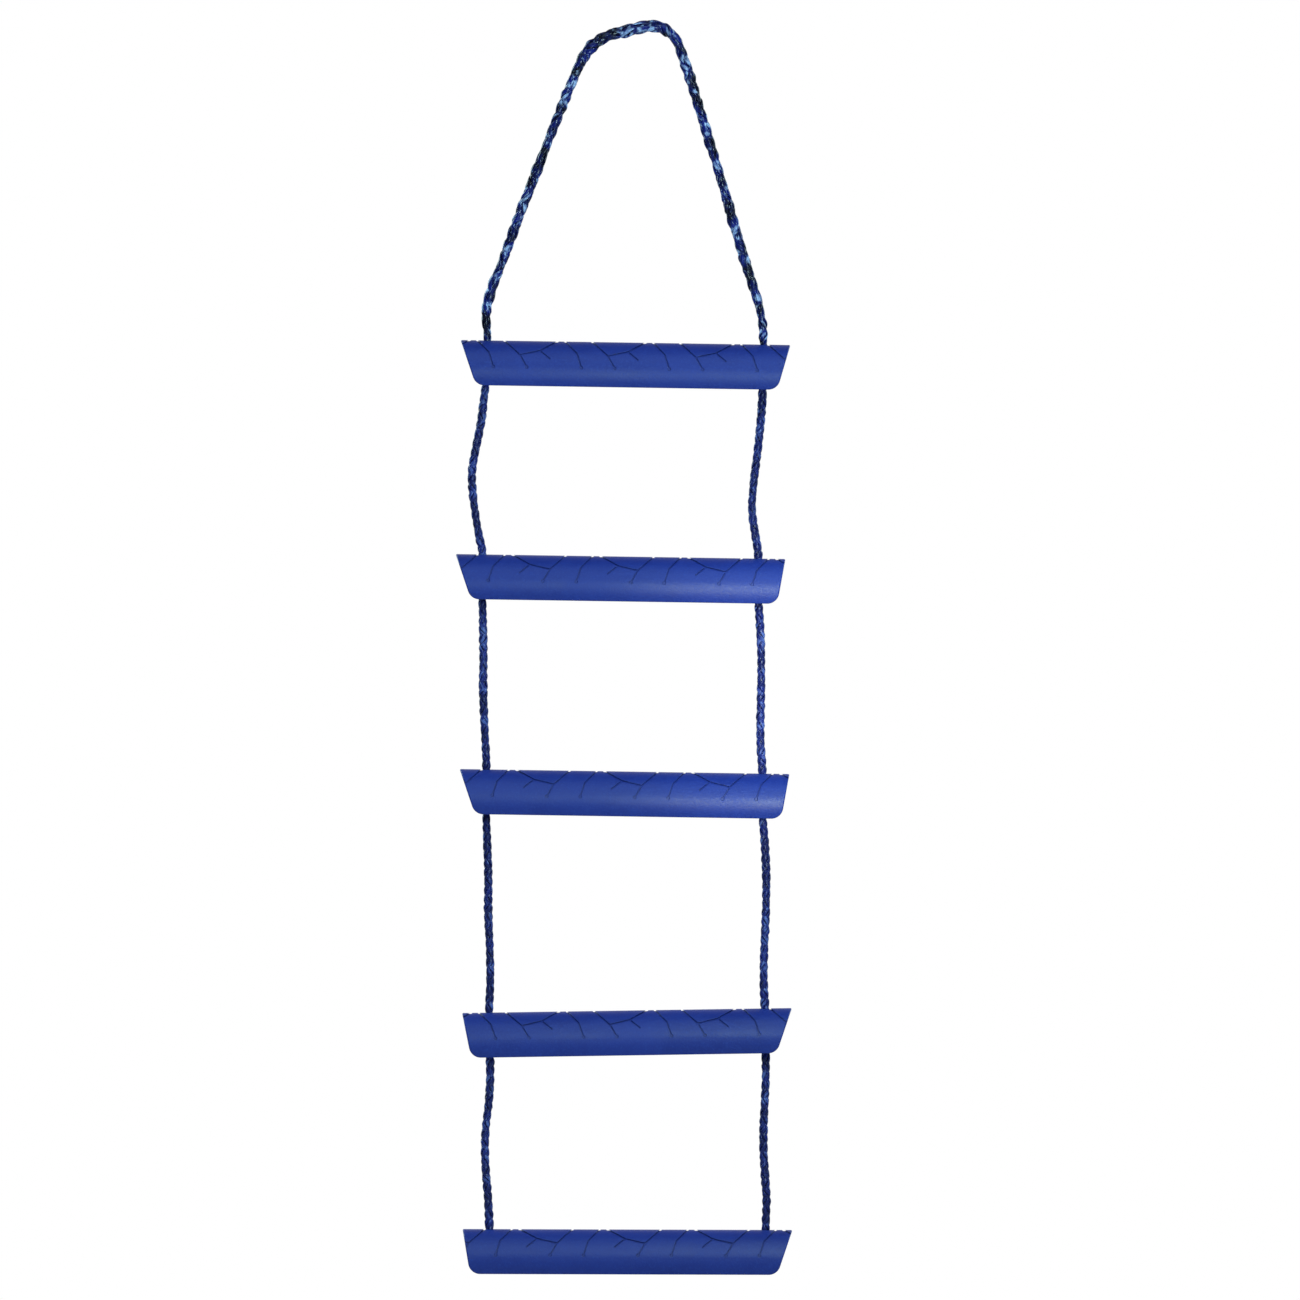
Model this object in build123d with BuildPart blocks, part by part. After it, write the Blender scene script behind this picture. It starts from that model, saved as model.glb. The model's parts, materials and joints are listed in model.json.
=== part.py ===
from build123d import *
from math import atan2, degrees, pi, radians, tan
import os

# Five-step rope ladder, as it hangs: moulded plastic steps on the two legs of one braided rope.
# Millimetres, +Z up. The origin is the inner side of the hanging loop's crown, where a hook bears.
# X runs along the steps, and the front faces -Y. Under each step a knot in each leg carries it.

os.makedirs("parts", exist_ok=True)

# Step: an arched channel, open underneath, drawn with its crown at the origin and its length on X.
# STEP_PLACES gives the lean of its two ends, because they aren't the same.
STEP_LENGTH = 330.0
STEP_RADIUS = 31.0
STEP_HEIGHT = 45.0
STEP_WALL = 3.2
END_CORNER = 12.0
RIM_ROUNDING = 1.2
HOLE_SPACING = 276.0
HOLE_RADIUS = 4.6
PAD_RADIUS = 11.0
PAD_BOTTOM = 6.6
PAD_BURIED = 2.6
RIB_PLACES = (-114.0, -57.0, 0.0, 57.0, 114.0)
RIB_THICKNESS = 2.4
RIB_BOTTOM = 15.0
RIB_GAP = 42.0

# Tread pattern: grooves seen from the front, as (x, depth below the crown) from each repeat's start.
GROOVE_WIDTH = 1.5
GROOVE_DEPTH = 0.9
DIMPLE_RADIUS = 1.7
PATTERN_PITCH = 88.0
PATTERN_START = -196.5
PATTERN_REPEATS = 5
LONG_STROKE = ((81.0, 0.0), (69.0, 12.0), (64.5, 26.0))
FORKED_STROKE = ((54.0, 0.0), (38.0, 14.0), (31.0, 26.0))
CONNECTOR = ((0.0, 0.0), (18.0, 9.5), (38.0, 14.0))
SHORT_STROKE = ((18.0, 9.5), (8.0, 17.5))

# Rope: the loop's rope is slack and a little fuller than the loaded legs.
LEG_RADIUS = 4.0
LOOP_RADIUS = 4.75
NECK_RADIUS = 4.0
CLEARANCE = 0.3
TREAD_GAP = 0.8
KNOT_RADIUS = 11.5
KNOT_BOTTOM = 31.0
KNOT_SHOULDER = 7.0
SWING_PIVOT = 38.0
LAST_TAIL = 43.0
ARC_SHARE = 0.45

# Each step as it hangs: x and z of its crown's middle, lean about Y, the turn about Z that says which way
# its tread pattern points, and how far its left and its right end lean in, in degrees.
STEP_PLACES = (
    (0.0, -306.5, 0.87, 180.0, 19.5, 15.5),
    (-5.0, -520.5, 0.87, 0.0, 19.5, 9.5),
    (-1.0, -735.5, 0.87, 0.0, 19.5, 9.5),
    (1.5, -974.5, -0.87, 180.0, 10.5, 19.5),
    (2.0, -1193.5, 0.17, 0.0, 9.5, 18.5),
)
SIDES = {"left": -1.0, "right": 1.0}

# The loop's route between the first step's two tread holes, from the left leg over the crown.
LOOP_ROUTE = (
    (-140.5, -1.0, -272.0),
    (-130.0, -2.0, -243.0),
    (-117.5, -2.5, -211.0),
    (-107.0, -2.0, -181.0),
    (-88.0, -2.0, -133.0),
    (-69.0, -1.5, -84.0),
    (-53.0, -1.0, -44.0),
    (-39.0, -1.0, -14.0),
    (-20.0, -0.5, 0.5),
    (3.0, 0.0, 5.5),
    (28.0, 0.5, 12.0),
    (49.0, 0.5, 2.0),
    (59.0, 1.0, -24.0),
    (73.0, 1.0, -70.0),
    (88.0, 1.5, -118.0),
    (105.0, 2.0, -176.0),
    (119.5, 2.5, -226.0),
    (131.0, 2.5, -260.0),
    (136.8, 1.0, -283.0),
)

# Each leg's route between the pivot under one step and the pivot over the next, from the top down.
LEG_ROUTES = {
    "left": (
        (
            (-141.5, -1.0, -361.0),
            (-144.0, -3.0, -385.0),
            (-149.0, -4.0, -409.0),
            (-154.0, -4.0, -434.0),
            (-153.0, -4.5, -456.0),
            (-150.5, -4.0, -477.0),
            (-146.5, -2.0, -500.0),
        ),
        (
            (-142.5, -2.0, -584.0),
            (-142.0, -4.5, -620.0),
            (-142.5, -4.5, -658.0),
            (-140.5, -2.0, -700.0),
        ),
        (
            (-138.5, -2.0, -802.0),
            (-137.0, -4.0, -838.0),
            (-137.5, -3.0, -876.0),
            (-135.5, -1.0, -916.0),
            (-135.0, 0.5, -948.0),
        ),
        (
            (-135.0, 1.0, -1038.0),
            (-136.5, 2.5, -1066.0),
            (-140.5, 3.5, -1096.0),
            (-140.5, 3.0, -1127.0),
            (-137.5, 1.0, -1160.0),
        ),
    ),
    "right": (
        (
            (136.5, 1.0, -369.0),
            (134.5, 2.5, -395.0),
            (131.0, 4.0, -424.0),
            (127.5, 4.0, -451.0),
            (126.0, 3.5, -474.0),
            (129.5, 2.0, -497.0),
        ),
        (
            (134.5, 2.0, -587.0),
            (136.0, 5.0, -622.0),
            (135.5, 4.5, -660.0),
            (134.5, 2.0, -704.0),
        ),
        (
            (139.0, 2.0, -801.0),
            (141.0, 3.5, -838.0),
            (140.5, 2.0, -878.0),
            (138.5, 0.0, -914.0),
            (138.0, -0.5, -948.0),
        ),
        (
            (140.5, -1.0, -1040.0),
            (139.0, -2.5, -1070.0),
            (137.5, -3.5, -1102.0),
            (139.0, -3.0, -1134.0),
            (141.5, -1.0, -1165.0),
        ),
    ),
}


def groove(points):
    """One groove of the sketch in progress: rounded strokes from point to point."""
    for start, end in zip(points, points[1:]):
        stroke = Vector(end[0] - start[0], start[1] - end[1])
        angle = degrees(atan2(stroke.Y, stroke.X))
        with Locations(((start[0] + end[0]) / 2, -(start[1] + end[1]) / 2)):
            SlotCenterToCenter(stroke.length, GROOVE_WIDTH, rotation=angle)


def repeats(points):
    """The same stroke at every repeat of the tread pattern."""
    for n in range(PATTERN_REPEATS):
        start = PATTERN_START + n * PATTERN_PITCH
        yield [(start + x, depth) for x, depth in points]


def stroke_ends():
    """Where the strokes that run down the sides stop, as seen from the front."""
    for stroke in (LONG_STROKE, FORKED_STROKE):
        for points in repeats(stroke):
            x, depth = points[-1]
            yield (x, -depth)


with BuildPart() as grooves:
    with BuildSketch(Plane.XZ):
        for shape in (LONG_STROKE, FORKED_STROKE, CONNECTOR, SHORT_STROKE):
            for points in repeats(shape):
                groove(points)
        with Locations(*stroke_ends()):
            Circle(DIMPLE_RADIUS)
    extrude(amount=STEP_RADIUS, both=True)
    with BuildSketch(Plane.YZ.offset(-STEP_LENGTH)):
        with Locations((0, -STEP_RADIUS)):
            Circle(STEP_RADIUS + STEP_WALL)
            Circle(STEP_RADIUS - GROOVE_DEPTH, mode=Mode.SUBTRACT)
    extrude(amount=2 * STEP_LENGTH, mode=Mode.INTERSECT)


def moulding(left, right):
    """A step in its own frame, with its two ends leaning in by these angles."""
    with BuildPart() as step:
        # The arched wall.
        with BuildSketch(Plane.YZ.offset(-STEP_LENGTH)):
            with Locations((0, -STEP_RADIUS)):
                Circle(STEP_RADIUS)
                Circle(STEP_RADIUS - STEP_WALL, mode=Mode.SUBTRACT)
        extrude(amount=2 * STEP_LENGTH)
        # Cross ribs under the crown, which run on down the walls to the rim.
        for place in RIB_PLACES:
            with BuildSketch(Plane.YZ.offset(place)):
                with Locations((0, -STEP_RADIUS)):
                    Circle(STEP_RADIUS - STEP_WALL / 2)
                with Locations((0, -RIB_BOTTOM)):
                    Rectangle(
                        RIB_GAP, 2 * STEP_RADIUS, align=(Align.CENTER, Align.MAX), mode=Mode.SUBTRACT
                    )
            extrude(amount=RIB_THICKNESS / 2, both=True)
        # It is cut level along the bottom, and its ends lean in from the crown to rounded lower corners.
        with BuildSketch(Plane.XZ.offset(-2 * STEP_RADIUS)):
            with BuildLine():
                Polyline(
                    (-STEP_LENGTH / 2 - STEP_WALL * tan(left), STEP_WALL),
                    (STEP_LENGTH / 2 + STEP_WALL * tan(right), STEP_WALL),
                    (STEP_LENGTH / 2 - STEP_HEIGHT * tan(right), -STEP_HEIGHT),
                    (-STEP_LENGTH / 2 + STEP_HEIGHT * tan(left), -STEP_HEIGHT),
                    close=True,
                )
            make_face()
            fillet(vertices().group_by(Axis.Y)[0], END_CORNER)
        extrude(amount=4 * STEP_RADIUS, mode=Mode.INTERSECT)
        rim = edges().group_by(Axis.Z)[0].sort_by(Axis.Y)
        fillet([rim[0], rim[-1]], RIM_ROUNDING)
        # Flat pads for the knots, and the rope holes through them.
        with BuildSketch(Plane.XY.offset(-PAD_BOTTOM)):
            with GridLocations(HOLE_SPACING, 0, 2, 1):
                Circle(PAD_RADIUS)
        extrude(amount=PAD_BOTTOM - PAD_BURIED)
        with GridLocations(HOLE_SPACING, 0, 2, 1):
            Hole(HOLE_RADIUS)
        # The tread pattern.
        add(grooves.part, mode=Mode.SUBTRACT)
    return step.part


def hung(number):
    """How a step hangs: the place and lean of its crown."""
    x, z, lean, *_ = STEP_PLACES[number - 1]
    return Location((x, 0, z), (0, lean, 0))


def on_leg(number, side, height):
    """A point on the middle of a step's rope hole, that far above its crown."""
    return (hung(number) * Location((SIDES[side] * HOLE_SPACING / 2, 0, height))).position


for number, (*_, facing, left_lean, right_lean) in enumerate(STEP_PLACES, 1):
    ends = (radians(left_lean), radians(right_lean))
    step = moulding(*(reversed(ends) if facing else ends))
    with BuildPart() as hung_step:
        add(step.moved(hung(number) * Location((0, 0, 0), (0, 0, facing))))
    hung_step.part.label = f"step_{number}"
    export_step(hung_step.part, f"parts/step_{number}.step")


def knot_outline(bottom):
    """Half of a knot's section: neck in the tread hole, round knot under the pad, tail below."""
    neck_top = TREAD_GAP - CLEARANCE
    middle = (PAD_BOTTOM + KNOT_BOTTOM) / 2
    Line((0, neck_top), (NECK_RADIUS, neck_top))
    Line((NECK_RADIUS, neck_top), (NECK_RADIUS, -PAD_BOTTOM))
    Line((NECK_RADIUS, -PAD_BOTTOM), (KNOT_SHOULDER, -PAD_BOTTOM))
    ThreePointArc((KNOT_SHOULDER, -PAD_BOTTOM), (KNOT_RADIUS, -middle), (KNOT_SHOULDER, -KNOT_BOTTOM))
    Line((KNOT_SHOULDER, -KNOT_BOTTOM), (NECK_RADIUS, -KNOT_BOTTOM))
    Line((NECK_RADIUS, -KNOT_BOTTOM), (NECK_RADIUS, -bottom))
    Line((NECK_RADIUS, -bottom), (0, -bottom))
    Line((0, -bottom), (0, neck_top))


for number in range(1, len(STEP_PLACES) + 1):
    last = number == len(STEP_PLACES)
    tail = LAST_TAIL if last else SWING_PIVOT - LEG_RADIUS - CLEARANCE
    for side, sign in SIDES.items():
        with BuildPart() as upright_knot:
            with BuildSketch(Plane.XZ):
                with BuildLine():
                    knot_outline(tail)
                make_face()
            revolve(axis=Axis.Z)
        with BuildPart() as knot:
            at_hole = hung(number) * Location((sign * HOLE_SPACING / 2, 0, 0))
            add(upright_knot.part.moved(at_hole))
        knot.part.label = f"knot_{side}_{number}"
        export_step(knot.part, f"parts/knot_{side}_{number}.step")


def bend_radii(points):
    """The largest tangent arc that each corner's two runs allow."""
    radii = []
    for before, corner, after in zip(points, points[1:], points[2:]):
        turn = (corner - before).get_angle(after - corner)
        shorter = min((corner - before).length, (after - corner).length)
        radii.append(ARC_SHARE * shorter / tan(radians(turn / 2)))
    return radii


def export_rope(name, points, radius):
    """A rope solid along a route of points, with round ends on its two pivots."""
    points = [Vector(*p) for p in points]
    radii = bend_radii(points)
    with BuildPart() as rope:
        with BuildLine():
            route = FilletPolyline(*points, radius=radii)
        with BuildSketch(Plane(origin=route @ 0, z_dir=route % 0)):
            Circle(radius)
        sweep(path=route)
        tube_ratio = rope.part.volume / (pi * radius**2 * route.length)
        with Locations(points[0], points[-1]):
            Sphere(radius)
    print(f"{name}: {route.length:.1f} mm long, volume over section times length {tube_ratio:.4f}")
    print("  bend radii", " ".join(f"{r:.0f}" for r in radii))
    rope.part.label = name
    export_step(rope.part, f"parts/{name}.step")


loop_ends = [on_leg(1, side, TREAD_GAP + LOOP_RADIUS) for side in SIDES]
export_rope("hanging_loop", [loop_ends[0], *LOOP_ROUTE, loop_ends[1]], LOOP_RADIUS)

for side, bays in LEG_ROUTES.items():
    for number, route_points in enumerate(bays, 1):
        top_end = on_leg(number, side, -SWING_PIVOT)
        low_end = on_leg(number + 1, side, TREAD_GAP + LEG_RADIUS)
        export_rope(f"rope_{side}_{number}", [top_end, *route_points, low_end], LEG_RADIUS)
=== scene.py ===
import json
from math import atan2, cos, pi, radians, sin, tau

import bpy
import numpy as np
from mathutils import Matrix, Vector


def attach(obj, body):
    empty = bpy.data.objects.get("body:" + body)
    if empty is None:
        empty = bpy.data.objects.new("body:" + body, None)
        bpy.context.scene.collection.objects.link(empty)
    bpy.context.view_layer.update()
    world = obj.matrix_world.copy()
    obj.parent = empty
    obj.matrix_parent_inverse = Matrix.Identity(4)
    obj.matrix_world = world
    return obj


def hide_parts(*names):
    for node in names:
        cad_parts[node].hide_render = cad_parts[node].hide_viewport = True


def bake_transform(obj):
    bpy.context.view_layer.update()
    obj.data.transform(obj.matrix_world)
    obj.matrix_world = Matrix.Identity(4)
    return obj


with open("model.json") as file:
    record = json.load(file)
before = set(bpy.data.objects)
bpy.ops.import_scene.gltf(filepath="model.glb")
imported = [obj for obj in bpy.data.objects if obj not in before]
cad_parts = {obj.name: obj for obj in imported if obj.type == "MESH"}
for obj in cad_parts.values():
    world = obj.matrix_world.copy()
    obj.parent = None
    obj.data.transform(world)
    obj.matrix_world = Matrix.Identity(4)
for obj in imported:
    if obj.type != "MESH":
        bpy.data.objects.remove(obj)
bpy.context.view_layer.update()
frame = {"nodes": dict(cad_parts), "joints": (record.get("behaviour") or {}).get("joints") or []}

# Rope ladder: eight-strand braided rope, tightened stopper knots and moulded steps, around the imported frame.
# Metres, +Z up, in the frame of the CAD parts.

STEPS = 5
SIDES = {"left": -1.0, "right": 1.0}
HOLE_FROM_MIDDLE = 0.138

LOOP_RADIUS = 0.00475
LEG_RADIUS = 0.004
HOLE_FIT_RADIUS = 0.0037

# Above and below a step's crown: the rope bends just above the tread, the knot hangs from KNOT_TOP to
# KNOT_END, and the ropes of the next bay leave SWING_PIVOT below the crown.
TREAD_GAP = 0.0008
KNOT_TOP = -0.0062
KNOT_END = -0.0335
SWING_PIVOT = 0.038

# The loop's route between the first step's two tread holes, from the left leg over the crown.
LOOP_ROUTE = (
    (-0.1405, -0.001, -0.272),
    (-0.13, -0.002, -0.243),
    (-0.1175, -0.0025, -0.211),
    (-0.107, -0.002, -0.181),
    (-0.088, -0.002, -0.133),
    (-0.069, -0.0015, -0.084),
    (-0.053, -0.001, -0.044),
    (-0.039, -0.001, -0.014),
    (-0.02, -0.0005, 0.0005),
    (0.003, 0.0, 0.0055),
    (0.028, 0.0005, 0.012),
    (0.049, 0.0005, 0.002),
    (0.059, 0.001, -0.024),
    (0.073, 0.001, -0.07),
    (0.088, 0.0015, -0.118),
    (0.105, 0.002, -0.176),
    (0.1195, 0.0025, -0.226),
    (0.131, 0.0025, -0.26),
    (0.1368, 0.001, -0.283),
)

# Each leg's route between the pivot under one step and the pivot over the next, from the top down.
LEG_ROUTES = {
    "left": (
        (
            (-0.1415, -0.001, -0.361),
            (-0.144, -0.003, -0.385),
            (-0.149, -0.004, -0.409),
            (-0.154, -0.004, -0.434),
            (-0.153, -0.0045, -0.456),
            (-0.1505, -0.004, -0.477),
            (-0.1465, -0.002, -0.5),
        ),
        (
            (-0.1425, -0.002, -0.584),
            (-0.142, -0.0045, -0.62),
            (-0.1425, -0.0045, -0.658),
            (-0.1405, -0.002, -0.7),
        ),
        (
            (-0.1385, -0.002, -0.802),
            (-0.137, -0.004, -0.838),
            (-0.1375, -0.003, -0.876),
            (-0.1355, -0.001, -0.916),
            (-0.135, 0.0005, -0.948),
        ),
        (
            (-0.135, 0.001, -1.038),
            (-0.1365, 0.0025, -1.066),
            (-0.1405, 0.0035, -1.096),
            (-0.1405, 0.003, -1.127),
            (-0.1375, 0.001, -1.16),
        ),
    ),
    "right": (
        (
            (0.1365, 0.001, -0.369),
            (0.1345, 0.0025, -0.395),
            (0.131, 0.004, -0.424),
            (0.1275, 0.004, -0.451),
            (0.126, 0.0035, -0.474),
            (0.1295, 0.002, -0.497),
        ),
        (
            (0.1345, 0.002, -0.587),
            (0.136, 0.005, -0.622),
            (0.1355, 0.0045, -0.66),
            (0.1345, 0.002, -0.704),
        ),
        (
            (0.139, 0.002, -0.801),
            (0.141, 0.0035, -0.838),
            (0.1405, 0.002, -0.878),
            (0.1385, 0.0, -0.914),
            (0.138, -0.0005, -0.948),
        ),
        (
            (0.1405, -0.001, -1.04),
            (0.139, -0.0025, -1.07),
            (0.1375, -0.0035, -1.102),
            (0.139, -0.003, -1.134),
            (0.1415, -0.001, -1.165),
        ),
    ),
}

scene = bpy.context.scene
JOINTS = {joint["name"]: joint for joint in frame["joints"]}


# ---------------------------------------------------------------- camera, lights and floor

# The photograph has one pixel to a millimetre, and its middle is here on the ladder.
VIEW_WIDTH = 1.3
VIEW_MIDDLE = (0.0245, -0.614)
CAMERA_AWAY = 3.0

# The lamps are slightly cyan, which keeps the blue plastic from turning violet.
LAMP_COLOUR = (0.62, 0.92, 1.0)
ACCENT_COLOUR = (0.92, 1.0, 0.88)

# Each area lamp's name, place, target, size and watts.
AREA_LIGHTS = (
    ("key_light", (0.27, -1.4, -0.42), (0.0, 0.0, -0.60), (0.35, 0.25), 9.5),
    ("fill_light", (0.1, -1.7, 2.2), (0.0, 0.0, -0.70), (3.6, 2.6), 31.0),
    ("back_left_light", (-2.0, 1.7, 0.4), (0.0, 0.0, -0.60), (1.2, 1.8), 42.0),
    ("back_right_light", (2.0, 1.8, 0.2), (0.0, 0.0, -0.60), (1.2, 1.8), 22.0),
    ("loop_light", (0.9, -1.2, 0.7), (0.0, 0.0, -0.10), (0.16, 0.16), 9.0),
)

# The accent falls on the right ends of the second and third step.
ACCENT_PLACE = (0.20, -2.0, -0.66)
ACCENT_TARGET = (0.16, 0.0, -0.66)
ACCENT_CONE = 12.0
ACCENT_RADIUS = 0.05
ACCENT_WATTS = 120.0

# The room's light by direction, from in front of the ladder (0) to behind it (1).
ROOM_FRONT = (0.10, 0.13, 0.15, 1.0)
ROOM_BETWEEN = ((0.80, (0.12, 0.12, 0.1272, 1.0)), (0.95, (0.60, 0.60, 0.636, 1.0)))
ROOM_BACK = (0.90, 0.90, 0.90, 1.0)

FLOOR_HEIGHT = -1.30
FLOOR_HALF_WIDTH = 3.0
FLOOR_GREY = (0.60, 0.60, 0.60, 1.0)
FLOOR_GLOW = (0.80, 0.80, 0.82, 1.0)


def add_camera():
    """A level camera far in front of the ladder, without perspective, as the photograph looks."""
    lens = bpy.data.cameras.new("camera")
    lens.type = "ORTHO"
    lens.ortho_scale = VIEW_WIDTH
    camera = bpy.data.objects.new("camera", lens)
    camera.location = (VIEW_MIDDLE[0], -CAMERA_AWAY, VIEW_MIDDLE[1])
    camera.rotation_euler = (pi / 2, 0.0, 0.0)
    scene.collection.objects.link(camera)
    scene.camera = camera


def aim_light(name, lamp, place, target):
    light = bpy.data.objects.new(name, lamp)
    light.location = place
    light.rotation_euler = (Vector(target) - Vector(place)).to_track_quat("-Z", "Y").to_euler()
    scene.collection.objects.link(light)


def add_area_light(name, place, target, size, watts):
    lamp = bpy.data.lights.new(name, "AREA")
    lamp.shape = "RECTANGLE"
    lamp.size, lamp.size_y = size
    lamp.energy = watts
    lamp.color = LAMP_COLOUR
    aim_light(name, lamp, place, target)


def add_accent_light():
    lamp = bpy.data.lights.new("accent_light", "SPOT")
    lamp.spot_size = radians(ACCENT_CONE)
    lamp.spot_blend = 1.0
    lamp.shadow_soft_size = ACCENT_RADIUS
    lamp.energy = ACCENT_WATTS
    lamp.color = ACCENT_COLOUR
    aim_light("accent_light", lamp, ACCENT_PLACE, ACCENT_TARGET)


def add_world():
    """White to the camera. On the ladder it is a dim studio with a bright wall behind the ladder."""
    world = bpy.data.worlds.new("studio")
    world.use_nodes = True
    scene.world = world
    nodes, links = world.node_tree.nodes, world.node_tree.links
    nodes.clear()
    output = nodes.new("ShaderNodeOutputWorld")
    chooser = nodes.new("ShaderNodeMixShader")
    ray = nodes.new("ShaderNodeLightPath")
    seen = nodes.new("ShaderNodeBackground")
    room = nodes.new("ShaderNodeBackground")
    coordinates = nodes.new("ShaderNodeTexCoord")
    split = nodes.new("ShaderNodeSeparateXYZ")
    depth = nodes.new("ShaderNodeMapRange")
    ramp = nodes.new("ShaderNodeValToRGB")
    seen.inputs["Color"].default_value = (1.0, 1.0, 1.0, 1.0)
    depth.inputs["From Min"].default_value = -1.0
    stops = ramp.color_ramp.elements
    stops[0].color = ROOM_FRONT
    stops[1].color = ROOM_BACK
    for position, colour in ROOM_BETWEEN:
        stops.new(position).color = colour
    links.new(coordinates.outputs["Generated"], split.inputs["Vector"])
    links.new(split.outputs["Y"], depth.inputs["Value"])
    links.new(depth.outputs["Result"], ramp.inputs["Fac"])
    links.new(ramp.outputs["Color"], room.inputs["Color"])
    links.new(ray.outputs["Is Camera Ray"], chooser.inputs["Fac"])
    links.new(room.outputs["Background"], chooser.inputs[1])
    links.new(seen.outputs["Background"], chooser.inputs[2])
    links.new(chooser.outputs["Shader"], output.inputs["Surface"])


def add_floor():
    """A plain pale floor just under the ladder's last step. It glows to the camera only, so it looks pale."""
    half, height = FLOOR_HALF_WIDTH, FLOOR_HEIGHT
    mesh = bpy.data.meshes.new("floor")
    corners = [(-half, -half, height), (half, -half, height), (half, half, height), (-half, half, height)]
    mesh.from_pydata(corners, [], [(0, 1, 2, 3)])
    floor = bpy.data.objects.new("floor", mesh)
    scene.collection.objects.link(floor)
    paint = bpy.data.materials.new("pale_floor")
    paint.use_nodes = True
    nodes, links = paint.node_tree.nodes, paint.node_tree.links
    matt = nodes["Principled BSDF"]
    matt.inputs["Base Color"].default_value = FLOOR_GREY
    matt.inputs["Roughness"].default_value = 0.8
    glow = nodes.new("ShaderNodeEmission")
    glow.inputs["Color"].default_value = FLOOR_GLOW
    ray = nodes.new("ShaderNodeLightPath")
    both = nodes.new("ShaderNodeAddShader")
    chooser = nodes.new("ShaderNodeMixShader")
    links.new(matt.outputs["BSDF"], both.inputs[0])
    links.new(glow.outputs["Emission"], both.inputs[1])
    links.new(ray.outputs["Is Camera Ray"], chooser.inputs["Fac"])
    links.new(matt.outputs["BSDF"], chooser.inputs[1])
    links.new(both.outputs["Shader"], chooser.inputs[2])
    links.new(chooser.outputs["Shader"], nodes["Material Output"].inputs["Surface"])
    mesh.materials.append(paint)


# ---------------------------------------------------------------- materials

# The steps' plastic: its body between two blues, and what lies on it: grain, pale edges that are partly wear
# and partly painted highlight, and painted shade in its grooves.
STEP_DEEP = (0.0055, 0.0240, 0.240)
STEP_BLUE = (0.0075, 0.0290, 0.275)
STEP_MOTTLE = (0.0090, 0.0340, 0.300)
STEP_GRAIN = (0.0170, 0.0520, 0.350)
STEP_WORN_EDGE_AND_HIGHLIGHT = (0.050, 0.110, 0.42)
STEP_GROOVE_SHADE = (0.0032, 0.0100, 0.115)
EDGE_RADIUS = 0.0007

# How near a surface has to be for painted shade in a groove, or in the gap between two strands.
PAINTED_SHADE_REACH = 0.0016

# Noise scales across and along a strand, on its own map: fine threads, and long patches of painted highlight.
THREAD_SCALES = (26.0, 260.0)
PATCH_SCALES = (1.6, 95.0)


class Nodes:
    """A material's node tree, with short calls for the nodes that the materials below share."""

    def __init__(self, name):
        self.material = bpy.data.materials.new(name)
        self.material.use_nodes = True
        self.tree = self.material.node_tree
        self.shader = self.tree.nodes["Principled BSDF"]

    def add(self, kind, **settings):
        node = self.tree.nodes.new(kind)
        for key, value in settings.items():
            setattr(node, key, value)
        return node

    def link(self, source, target):
        self.tree.links.new(source, target)

    def noise(self, vector, scale, detail=3.0, roughness=0.5):
        node = self.add("ShaderNodeTexNoise")
        node.inputs["Scale"].default_value = scale
        node.inputs["Detail"].default_value = detail
        node.inputs["Roughness"].default_value = roughness
        self.link(vector, node.inputs["Vector"])
        return node.outputs["Fac"]

    def remap(self, value, low, high, to_low, to_high):
        node = self.add("ShaderNodeMapRange")
        node.inputs["From Min"].default_value = low
        node.inputs["From Max"].default_value = high
        node.inputs["To Min"].default_value = to_low
        node.inputs["To Max"].default_value = to_high
        self.link(value, node.inputs["Value"])
        return node.outputs["Result"]

    def mix(self, share, first, second):
        """A colour between two others; each is a colour or a socket."""
        node = self.add("ShaderNodeMix", data_type="RGBA")
        self.link(share, node.inputs["Factor"])
        for given, socket in ((first, node.inputs["A"]), (second, node.inputs["B"])):
            if isinstance(given, tuple):
                socket.default_value = (*given, 1.0)
            else:
                self.link(given, socket)
        return node.outputs["Result"]

    def maths(self, operation, first, second):
        """A sum or product of a socket and another socket or a number."""
        node = self.add("ShaderNodeMath", operation=operation)
        for given, socket in zip((first, second), node.inputs):
            if isinstance(given, float):
                socket.default_value = given
            else:
                self.link(given, socket)
        return node.outputs[0]

    def stretched(self, across, along, scales):
        """The strand's map, scaled differently across and along it."""
        node = self.add("ShaderNodeCombineXYZ")
        self.link(self.maths("MULTIPLY", across, scales[0]), node.inputs["X"])
        self.link(self.maths("MULTIPLY", along, scales[1]), node.inputs["Y"])
        return node.outputs["Vector"]

    def painted_nook_shade(self, low, high, most):
        """How deep in a groove or gap a point is, as a share of painted shade, from 0 in the open."""
        node = self.add("ShaderNodeAmbientOcclusion", samples=8)
        node.inputs["Distance"].default_value = PAINTED_SHADE_REACH
        return self.remap(node.outputs["AO"], low, high, most, 0.0)

    def bump(self, height, strength, distance, normal=None):
        node = self.add("ShaderNodeBump")
        node.inputs["Strength"].default_value = strength
        node.inputs["Distance"].default_value = distance
        self.link(height, node.inputs["Height"])
        if normal is not None:
            self.link(normal, node.inputs["Normal"])
        return node.outputs["Normal"]


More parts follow.
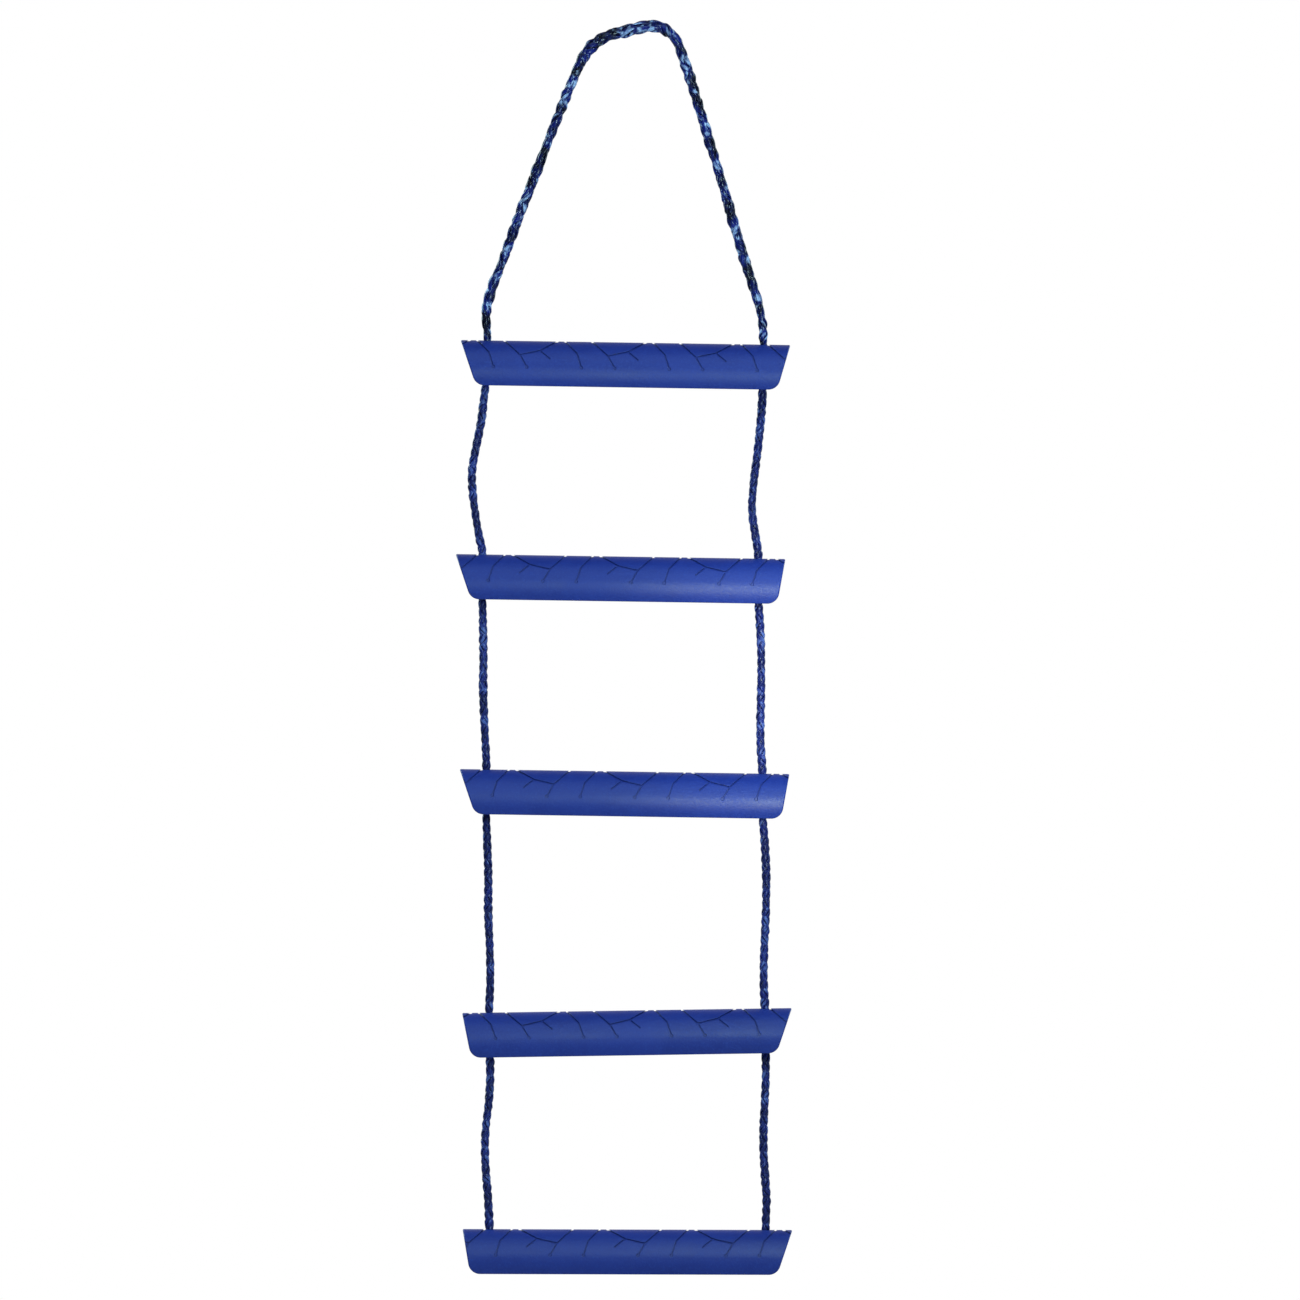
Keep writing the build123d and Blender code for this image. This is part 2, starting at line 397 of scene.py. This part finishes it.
def step_plastic():
    """Deep blue moulded plastic, satin and finely grained, with painted shade in its grooves and paler edges,
    partly wear and partly painted highlight.
    """
    n = Nodes("step_plastic")
    place = n.add("ShaderNodeTexCoord").outputs["Object"]
    broad = n.noise(place, 14.0, 4.0)
    mottle = n.noise(place, 120.0, 3.0)
    grain = n.noise(place, 480.0, 3.0, 0.70)
    fine = n.noise(place, 2600.0, 1.0)
    body = n.mix(n.remap(broad, 0.35, 0.65, 0.0, 1.0), STEP_DEEP, STEP_BLUE)
    body = n.mix(n.remap(mottle, 0.40, 0.75, 0.0, 0.35), body, STEP_MOTTLE)
    body = n.mix(n.remap(grain, 0.50, 0.72, 0.0, 0.55), body, STEP_GRAIN)

    # Paler edges, partly wear and partly a painted highlight: the base colour lightens where the rounded edge
    # turns from the face.
    edge = n.add("ShaderNodeBevel", samples=6)
    edge.inputs["Radius"].default_value = EDGE_RADIUS
    facing = n.add("ShaderNodeNewGeometry")
    turn = n.add("ShaderNodeVectorMath", operation="DOT_PRODUCT")
    n.link(edge.outputs["Normal"], turn.inputs[0])
    n.link(facing.outputs["Normal"], turn.inputs[1])
    worn = n.remap(turn.outputs["Value"], 0.96, 0.80, 0.0, 0.35)
    worn = n.maths("MULTIPLY", worn, n.remap(mottle, 0.35, 0.6, 0.2, 1.0))
    body = n.mix(worn, body, STEP_WORN_EDGE_AND_HIGHLIGHT)
    # Painted shade: the base colour darkens deep in the grooves.
    n.link(n.mix(n.painted_nook_shade(0.45, 0.95, 0.85), body, STEP_GROOVE_SHADE), n.shader.inputs["Base Color"])

    gloss = n.maths("ADD", n.remap(broad, 0.3, 0.7, 0.44, 0.52), n.remap(grain, 0.3, 0.7, -0.08, 0.09))
    n.link(gloss, n.shader.inputs["Roughness"])
    relief = n.bump(grain, 0.60, 0.00040, edge.outputs["Normal"])
    n.link(n.bump(fine, 0.20, 0.00006, relief), n.shader.inputs["Normal"])
    n.shader.inputs["Specular IOR Level"].default_value = 0.44
    return n.material


def rope_fibre(name, deep, bright, painted_glint, roughness):
    """Braided split film: flat shiny strands, their filaments fine across and long along each strand, with
    painted glints on the strands and painted shade in the gaps between them.
    """
    n = Nodes(name)
    split = n.add("ShaderNodeSeparateXYZ")
    n.link(n.add("ShaderNodeUVMap", uv_map="strand").outputs["UV"], split.inputs["Vector"])
    across, along = split.outputs["X"], split.outputs["Y"]
    threads = n.noise(n.stretched(across, along, THREAD_SCALES), 1.0, 2.0, 0.6)
    patches = n.noise(n.stretched(across, along, PATCH_SCALES), 1.0, 2.0, 0.5)
    broad = n.noise(n.add("ShaderNodeTexCoord").outputs["Object"], 60.0, 3.0)
    tint = n.maths("ADD", n.remap(threads, 0.3, 0.7, 0.0, 0.5), n.remap(broad, 0.38, 0.62, -0.30, 0.50))
    body = n.mix(tint, deep, bright)
    # Painted highlight: pale glints in the base colour on long patches along the strands.
    glint_patches = n.maths("ADD", patches, n.remap(broad, 0.30, 0.70, -0.16, 0.10))
    pale = n.maths(
        "MULTIPLY", n.remap(glint_patches, 0.54, 0.66, 0.0, 1.0), n.remap(threads, 0.35, 0.6, 0.45, 1.0)
    )
    body = n.mix(pale, body, painted_glint)
    # Painted shade: the base colour darkens in the gaps between strands.
    gap = tuple(shade / 4 for shade in deep)
    n.link(n.mix(n.painted_nook_shade(0.35, 0.85, 0.9), body, gap), n.shader.inputs["Base Color"])

    worn = n.remap(threads, 0.3, 0.7, roughness + 0.08, roughness - 0.04)
    n.link(worn, n.shader.inputs["Roughness"])
    n.link(n.bump(threads, 0.35, 0.00022), n.shader.inputs["Normal"])
    n.shader.inputs["Specular IOR Level"].default_value = 0.38
    return n.material


# ---------------------------------------------------------------- rope geometry

STRANDS = 8
RING_SPACING = 0.001
SECTION_POINTS = 10

# How far the braid takes to go once round the rope. The loop's is longer and looser.
LAY = 0.036
LOOP_LAY = 0.054
LOOP_SLACK = 1.8

# A strand's size and place in the rope, as shares of the rope's radius, and how far its ribbon tilts.
FULLNESS = 1.12
STRAND_PLACE = 0.60
STRAND_WEAVE = 0.18
STRAND_HALF_WIDTH = 0.42
STRAND_HALF_THICKNESS = 0.20
STRAND_TILT = 0.30

# How flat a strand's section is at its two edges and on its two faces: 1 is round.
EDGE_POWER = 0.85
FACE_POWER = 0.50

# Unevenness: the waves it is made of, and its size in the rope's radius, its twist and its strands.
WAVE_LENGTHS = (0.151, 0.067, 0.041, 0.023)
WAVE_WEIGHTS = (0.40, 0.30, 0.20, 0.10)
RADIUS_DRIFT = 0.07
TWIST_DRIFT = 0.9
STRAND_DRIFT = 0.16


def unit(vectors):
    return vectors / np.linalg.norm(vectors, axis=-1, keepdims=True)


def evenly(points, spacing=RING_SPACING):
    """The same line with its points spacing apart."""
    travel = np.concatenate([[0.0], np.cumsum(np.linalg.norm(np.diff(points, axis=0), axis=1))])
    stations = np.linspace(0.0, travel[-1], round(travel[-1] / spacing) + 1)
    return np.stack([np.interp(stations, travel, points[:, i]) for i in range(3)], axis=1)


def centre_line(route):
    """Points read from the NURBS spline that has the route's points as its control points."""
    curve = bpy.data.curves.new("route", "CURVE")
    curve.dimensions = "3D"
    curve.resolution_u = 32
    spline = curve.splines.new("NURBS")
    spline.points.add(len(route) - 1)
    for place, point in zip(spline.points, route):
        place.co = (*point, 1.0)
    spline.order_u = 3
    spline.use_endpoint_u = True
    holder = bpy.data.objects.new("route", curve)
    scene.collection.objects.link(holder)
    line = bpy.data.meshes.new_from_object(holder)
    points = np.array([tuple(v.co) for v in line.vertices])
    bpy.data.objects.remove(holder)
    bpy.data.curves.remove(curve)
    bpy.data.meshes.remove(line)
    return evenly(points)


def line_frames(line):
    """A side and an up direction at each point, carried along the line without twist."""
    along = unit(np.gradient(line, axis=0))
    side = np.empty_like(line)
    side[0] = unit(np.cross(along[0], (0.3, 1.0, 0.0)))
    for i in range(1, len(line)):
        kept = side[i - 1] - along[i] * (side[i - 1] @ along[i])
        side[i] = kept / np.linalg.norm(kept)
    return side, np.cross(along, side)


def wander(travel, size, seed):
    """A slow uneven drift along a rope, from a few waves of seeded phase."""
    phases = np.random.default_rng(seed).uniform(0.0, tau, len(WAVE_LENGTHS))
    waves = zip(WAVE_WEIGHTS, WAVE_LENGTHS, phases)
    return size * sum(weight * np.sin(tau * travel / length + phase) for weight, length, phase in waves)


def flattened(wave, power):
    """A wave pressed towards its limits, which makes a strand's round section a flat ribbon's."""
    return np.sign(wave) * np.abs(wave) ** power


def braid_rings(line, radius, seed, lay=LAY, slack=1.0):
    """Each strand's rings of section points, as an array of strand, ring, section point, xyz."""
    side, up = line_frames(line)
    travel = np.arange(len(line)) * np.linalg.norm(line[1] - line[0])
    radius = FULLNESS * np.broadcast_to(np.asarray(radius, float), travel.shape)
    radius = radius * (1 + wander(travel, RADIUS_DRIFT * slack, seed))
    twist = wander(travel, TWIST_DRIFT * slack, seed + 1)
    around = tau * np.arange(SECTION_POINTS) / SECTION_POINTS
    edge = flattened(np.cos(around), EDGE_POWER)
    face = flattened(np.sin(around), FACE_POWER)
    strands = []
    for strand in range(STRANDS):
        # Half the strands run each way round, and each goes over two of the others and under two.
        hand = 1.0 if strand % 2 else -1.0
        angle = hand * tau * travel / lay + tau * (strand // 2) / (STRANDS / 2) + twist
        weave = hand * np.cos(tau * travel * (STRANDS / 4) / lay + pi / 4)
        uneven = 1 + wander(travel, STRAND_DRIFT * slack, seed + 2 + strand)
        tilt = wander(travel, STRAND_TILT * slack, seed + 20 + strand)[:, None]
        out = side * np.cos(angle)[:, None] + up * np.sin(angle)[:, None]
        middle = line + out * (radius * (STRAND_PLACE + STRAND_WEAVE * weave * uneven))[:, None]
        run = unit(np.gradient(middle, axis=0))
        level = unit(out - run * np.sum(out * run, axis=1, keepdims=True))
        across = np.cross(run, level)
        flat = across * np.cos(tilt) + level * np.sin(tilt)
        normal = level * np.cos(tilt) - across * np.sin(tilt)
        wide = (radius * STRAND_HALF_WIDTH * uneven)[:, None, None] * edge[None, :, None]
        thick = (radius * STRAND_HALF_THICKNESS)[:, None, None] * face[None, :, None]
        strands.append(middle[:, None, :] + flat[:, None, :] * wide + normal[:, None, :] * thick)
    return np.stack(strands)


def strand_mesh(name, rings, first_ring, material):
    """A mesh of closed strands from their rings, with the strands' map, as one object."""
    strands, count, section, _ = rings.shape
    ring, point = np.meshgrid(np.arange(count - 1), np.arange(section), indexing="ij")
    after = (point + 1) % section
    here, ahead = ring * section, (ring + 1) * section
    quads = np.stack([here + point, here + after, ahead + after, ahead + point], axis=-1).reshape(-1, 4)
    strand_at = np.repeat(np.arange(strands), len(quads))
    faces = (np.tile(quads, (strands, 1)) + (strand_at * count * section)[:, None]).tolist()
    for strand in range(strands):
        start = strand * count * section
        last = start + (count - 1) * section
        faces.append([start + i for i in reversed(range(section))])
        faces.append([last + i for i in range(section)])
    mesh = bpy.data.meshes.new(name)
    mesh.from_pydata(rings.reshape(-1, 3).tolist(), [], faces)

    # On the map, each strand is one unit wide and as long as in metres. Its end caps stay at the corner.
    across = np.stack([point, point + 1, point + 1, point], axis=-1).reshape(-1, 4) / section
    along = np.stack([ring, ring, ring + 1, ring + 1], axis=-1).reshape(-1, 4)
    chart_u = (np.tile(across, (strands, 1)) + strand_at[:, None]).reshape(-1)
    chart_v = (np.tile(along, (strands, 1)) + first_ring).reshape(-1) * RING_SPACING
    caps = 2 * strands * section
    chart = np.zeros((len(chart_u) + caps, 2), np.float32)
    chart[: len(chart_u), 0] = chart_u
    chart[: len(chart_v), 1] = chart_v
    mesh.uv_layers.new(name="strand").data.foreach_set("uv", chart.reshape(-1))
    mesh.polygons.foreach_set("use_smooth", [True] * len(mesh.polygons))
    mesh.materials.append(material)
    mesh.validate()
    piece = bpy.data.objects.new(name, mesh)
    scene.collection.objects.link(piece)
    return piece


# ---------------------------------------------------------------- where the steps and holes are


def step_axes(number):
    """The middle of a step's crown, the direction along the step and the one up from its crown."""
    joint = JOINTS[f"step_{number}_tilt"]
    along = Vector(joint["axis"]).normalized()
    lean = atan2(-along.z, along.x)
    up = Vector((sin(lean), 0.0, cos(lean)))
    height = TREAD_GAP + (LOOP_RADIUS if number == 1 else LEG_RADIUS)
    return Vector(joint["pos_m"]) - up * height, along, up


def on_leg(number, side, height):
    """A point on the middle of a tread hole, that far above the step's crown."""
    crown, along, up = step_axes(number)
    return crown + along * (SIDES[side] * HOLE_FROM_MIDDLE) + up * height


# ---------------------------------------------------------------- the ropes

# The loop narrows to fit its hole between these two distances from its end.
HOLE_TAPER = (0.012, 0.050)

# The loop is fuller at its crown, and the fullness fades along the rope.
CROWN_FULLNESS = 0.0012
CROWN_REACH = 0.055

# Seeds of the ropes' unevenness. Each bay's two legs have their own.
LOOP_SEED = 11
BAY_SEED = 100
LEG_SEEDS = {"left": 0, "right": 50}


def add_loop(material):
    """The hanging loop, full and slack at its crown and drawn narrow where it enters the tread."""
    pivot = TREAD_GAP + LOOP_RADIUS
    route = [on_leg(1, "left", KNOT_TOP), on_leg(1, "left", pivot), *LOOP_ROUTE]
    route += [on_leg(1, "right", pivot), on_leg(1, "right", KNOT_TOP)]
    line = centre_line(route)
    travel = np.arange(len(line)) * RING_SPACING
    to_end = np.minimum(travel, travel[-1] - travel)
    radius = np.interp(to_end, HOLE_TAPER, (HOLE_FIT_RADIUS, LOOP_RADIUS))
    radius += CROWN_FULLNESS * np.exp(-(((travel - travel[-1] / 2) / CROWN_REACH) ** 2))
    rings = braid_rings(line, radius, LOOP_SEED, LOOP_LAY, LOOP_SLACK)
    loop = strand_mesh("loop_rope", rings, 0, material)
    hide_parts("hanging_loop")
    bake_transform(loop)


def add_bay_rope(number, side, material):
    """One leg between two steps, cut in the middle into an upper and a lower half."""
    route = [on_leg(number, side, KNOT_END), on_leg(number, side, -SWING_PIVOT)]
    route += LEG_ROUTES[side][number - 1]
    low_pivot = TREAD_GAP + LEG_RADIUS
    route += [on_leg(number + 1, side, low_pivot), on_leg(number + 1, side, KNOT_TOP)]
    line = centre_line(route)
    rings = braid_rings(line, LEG_RADIUS, BAY_SEED * number + LEG_SEEDS[side])
    cut = len(line) // 2
    upper = strand_mesh(f"leg_{side}_{number}_upper", rings[:, : cut + 1], 0, material)
    lower = strand_mesh(f"leg_{side}_{number}_lower", rings[:, cut:], cut, material)
    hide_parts(f"rope_{side}_{number}")
    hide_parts(f"rope_{side}_{number}")
    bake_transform(upper)
    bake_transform(lower)


# ---------------------------------------------------------------- the knots

# An overhand knot is pulled tight by a small simulation, in millimetres.
KNOT_ROPE = 6.9
KNOT_POINTS = 84
KNOT_LEAD_POINTS = 10
LOOSE_KNOT_SIZES = (4.6, 4.0, 1.3)
KNOT_ROUNDS = 900
KNOT_PULLED_LENGTH = 98.0
KNOT_PULLED_BY = 0.7

# In each round the line is straightened, drawn to the hole's axis, and its links and gaps corrected. Points
# that are nearer along the rope than KNOT_NEIGHBOURS of its thicknesses may be closer than the rope is thick.
KNOT_STRAIGHTEN = 0.12
KNOT_CENTRE = 0.06
KNOT_FREE_POINTS = 12
KNOT_CORRECTIONS = 4
KNOT_LINK_SHARE = 0.3
KNOT_GAP_SHARE = 0.9
KNOT_END_SHARE = 0.3
KNOT_NEIGHBOURS = 1.2

# The finished rope is a little thicker than the one simulated, so that its turns press together. The simulated
# line starts and ends KNOT_END_ROOM beyond the knot.
KNOT_FULLNESS = 1.06
KNOT_END_ROOM = 1.0

# The last step's knots end the legs, in a short tail.
TAIL_LENGTH = 0.0085
TAIL_POINTS = 8

# Each knot is turned about its hole, so that no two look alike.
KNOT_TURN = 35.0
KNOT_RIGHT_TURN = 80.0
KNOT_SEED = 900


def loose_overhand(top, bottom):
    """A loose overhand knot from the top end to the bottom end, as a polynomial knot with led-in ends."""
    t = np.linspace(2.0, -2.0, KNOT_POINTS - 2 * (KNOT_LEAD_POINTS - 1))
    middle = (top + bottom) / 2
    wide, deep, high = LOOSE_KNOT_SIZES
    knot = [(t**3 - 3 * t) * wide, (t**4 - 4 * t**2 + 2) * deep, (t**5 - 10 * t) * high + middle]
    knot = np.stack(knot, axis=1)
    lead = np.linspace(0.0, 1.0, KNOT_LEAD_POINTS)[:-1, None]
    first, last = np.array([0.0, 0.0, top]), np.array([0.0, 0.0, bottom])
    return np.vstack([first + (knot[0] - first) * lead, knot, last + (knot[-1] - last) * lead[::-1]])


def tight_overhand(top, bottom):
    """The same knot with its rope drawn in until the turns bear on each other."""
    points = loose_overhand(top, bottom)
    ends = points[[0, -1]].copy()
    count = len(points)
    free = slice(KNOT_FREE_POINTS, -KNOT_FREE_POINTS)
    full = np.linalg.norm(np.diff(points, axis=0), axis=1).sum()
    one, other = np.triu_indices(count, 1)
    for number in range(KNOT_ROUNDS):
        share = min(1.0, number / (KNOT_PULLED_BY * KNOT_ROUNDS))
        link = ((1 - share) * full + share * KNOT_PULLED_LENGTH) / (count - 1)
        points[1:-1] += KNOT_STRAIGHTEN * (points[:-2] + points[2:] - 2 * points[1:-1])
        points[free, :2] -= KNOT_CENTRE * points[free, :2].mean(axis=0)
        apart = other - one > int(KNOT_NEIGHBOURS * KNOT_ROPE / link) + 2
        first, second = one[apart], other[apart]
        for _ in range(KNOT_CORRECTIONS):
            step = points[1:] - points[:-1]
            reach = np.linalg.norm(step, axis=1, keepdims=True)
            pull = KNOT_LINK_SHARE * step * (1 - link / reach)
            points[:-1] += pull
            points[1:] -= pull
            gap = points[second] - points[first]
            far = np.linalg.norm(gap, axis=1)
            close = far < KNOT_ROPE
            push = 0.5 * gap[close] * (KNOT_ROPE / far[close] - 1)[:, None]
            moved, hits = np.zeros_like(points), np.zeros(count)
            for where, way in ((first[close], -push), (second[close], push)):
                np.add.at(moved, where, way)
                np.add.at(hits, where, 1)
            points += KNOT_GAP_SHARE * moved / np.maximum(hits, 1)[:, None]
            points[[0, -1]] = ends
            points[[1, -2], :2] *= KNOT_END_SHARE
    return points


def add_knots(material):
    """A stopper knot under each tread hole, as the rope runs on through it."""
    shape = tight_overhand(KNOT_TOP * 1000 + KNOT_END_ROOM, KNOT_END * 1000 - KNOT_END_ROOM)
    for number in range(1, STEPS + 1):
        crown, along, up = step_axes(number)
        axes = np.array([tuple(along), tuple(up.cross(along)), tuple(up)])
        for side, sign in SIDES.items():
            spin = radians(KNOT_TURN * number + (KNOT_RIGHT_TURN if sign > 0 else 0.0))
            x = shape[:, 0] * cos(spin) - shape[:, 1] * sin(spin)
            y = shape[:, 0] * sin(spin) + shape[:, 1] * cos(spin)
            local = np.stack([x, y, shape[:, 2]], axis=1) / 1000
            if number == STEPS:
                tail = np.linspace(0.0, 1.0, TAIL_POINTS + 1)[1:, None] * np.array([[0.0, 0.0, -TAIL_LENGTH]])
                local = np.vstack([local, local[-1] + tail])
            place = np.array(on_leg(number, side, 0.0))
            line = evenly(place + local @ axes)
            rings = braid_rings(line, KNOT_ROPE / 2000 * KNOT_FULLNESS, KNOT_SEED + 10 * number)
            knot = strand_mesh(f"stopper_knot_{side}_{number}", rings, 0, material)
            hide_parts(f"knot_{side}_{number}")
            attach(knot, f"step_{number}")


# ---------------------------------------------------------------- the steps


def dress_steps(material):
    """The carried-over CAD steps get the moulded plastic."""
    for number in range(1, STEPS + 1):
        step = frame["nodes"][f"step_{number}"]
        if not step.data.materials:
            step.data.materials.append(material)
        for slot in step.material_slots:
            slot.material = material


# ---------------------------------------------------------------- the scene

scene.view_settings.view_transform = "Standard"
add_camera()
add_world()
add_floor()
for light in AREA_LIGHTS:
    add_area_light(*light)
add_accent_light()

leg_fibre = rope_fibre(
    "leg_rope_fibre",
    deep=(0.004, 0.008, 0.095), bright=(0.013, 0.026, 0.260), painted_glint=(0.115, 0.175, 0.50), roughness=0.36,
)
loop_fibre = rope_fibre(
    "loop_rope_fibre",
    deep=(0.0004, 0.0010, 0.014), bright=(0.005, 0.017, 0.260), painted_glint=(0.46, 0.62, 0.95), roughness=0.24,
)
add_loop(loop_fibre)
for bay in range(1, STEPS):
    for leg in SIDES:
        add_bay_rope(bay, leg, leg_fibre)
add_knots(leg_fibre)
dress_steps(step_plastic())
